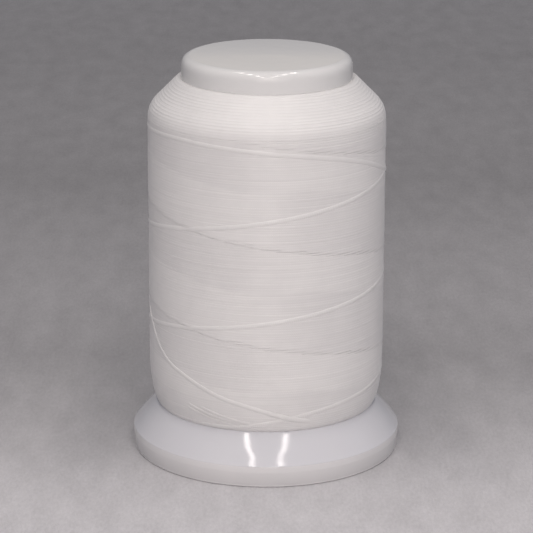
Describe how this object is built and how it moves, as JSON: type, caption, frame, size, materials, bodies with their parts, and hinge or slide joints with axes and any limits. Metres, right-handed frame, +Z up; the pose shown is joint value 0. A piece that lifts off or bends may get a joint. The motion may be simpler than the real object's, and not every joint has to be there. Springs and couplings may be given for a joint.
{
  "type": "thread spool",
  "caption": "Upright plastic spool of waxed thread: closed round head, cone-shouldered winding with crossing outer turns, and a domed base whose lower ring snaps open to hold the thread's end.",
  "frame": {"origin": "centre of the underside of the lock ring, on the surface the spool stands on", "axes": "+Z up along the spool's axis, from the base to the head; -Y is the side seen from the front"},
  "size_m": [0.0604, 0.0604, 0.0902],
  "materials": {
    "white_plastic": "glossy moulded white plastic, slightly softer on the head",
    "waxed_thread": "fine white waxed thread in close satin turns"
  },
  "bodies": {
    "base": {"lock_ring": "white_plastic"},
    "spool": {"base_flange": "white_plastic", "spool_barrel": "white_plastic", "head_cap": "white_plastic", "thread_package": "waxed_thread", "outer_winding": "waxed_thread"}
  },
  "joints": [
    {"name": "thread_lock", "type": "slide", "parent": "base", "child": "spool", "axis": [0, 0, 1], "range_m": [0, 0.003]}
  ]
}
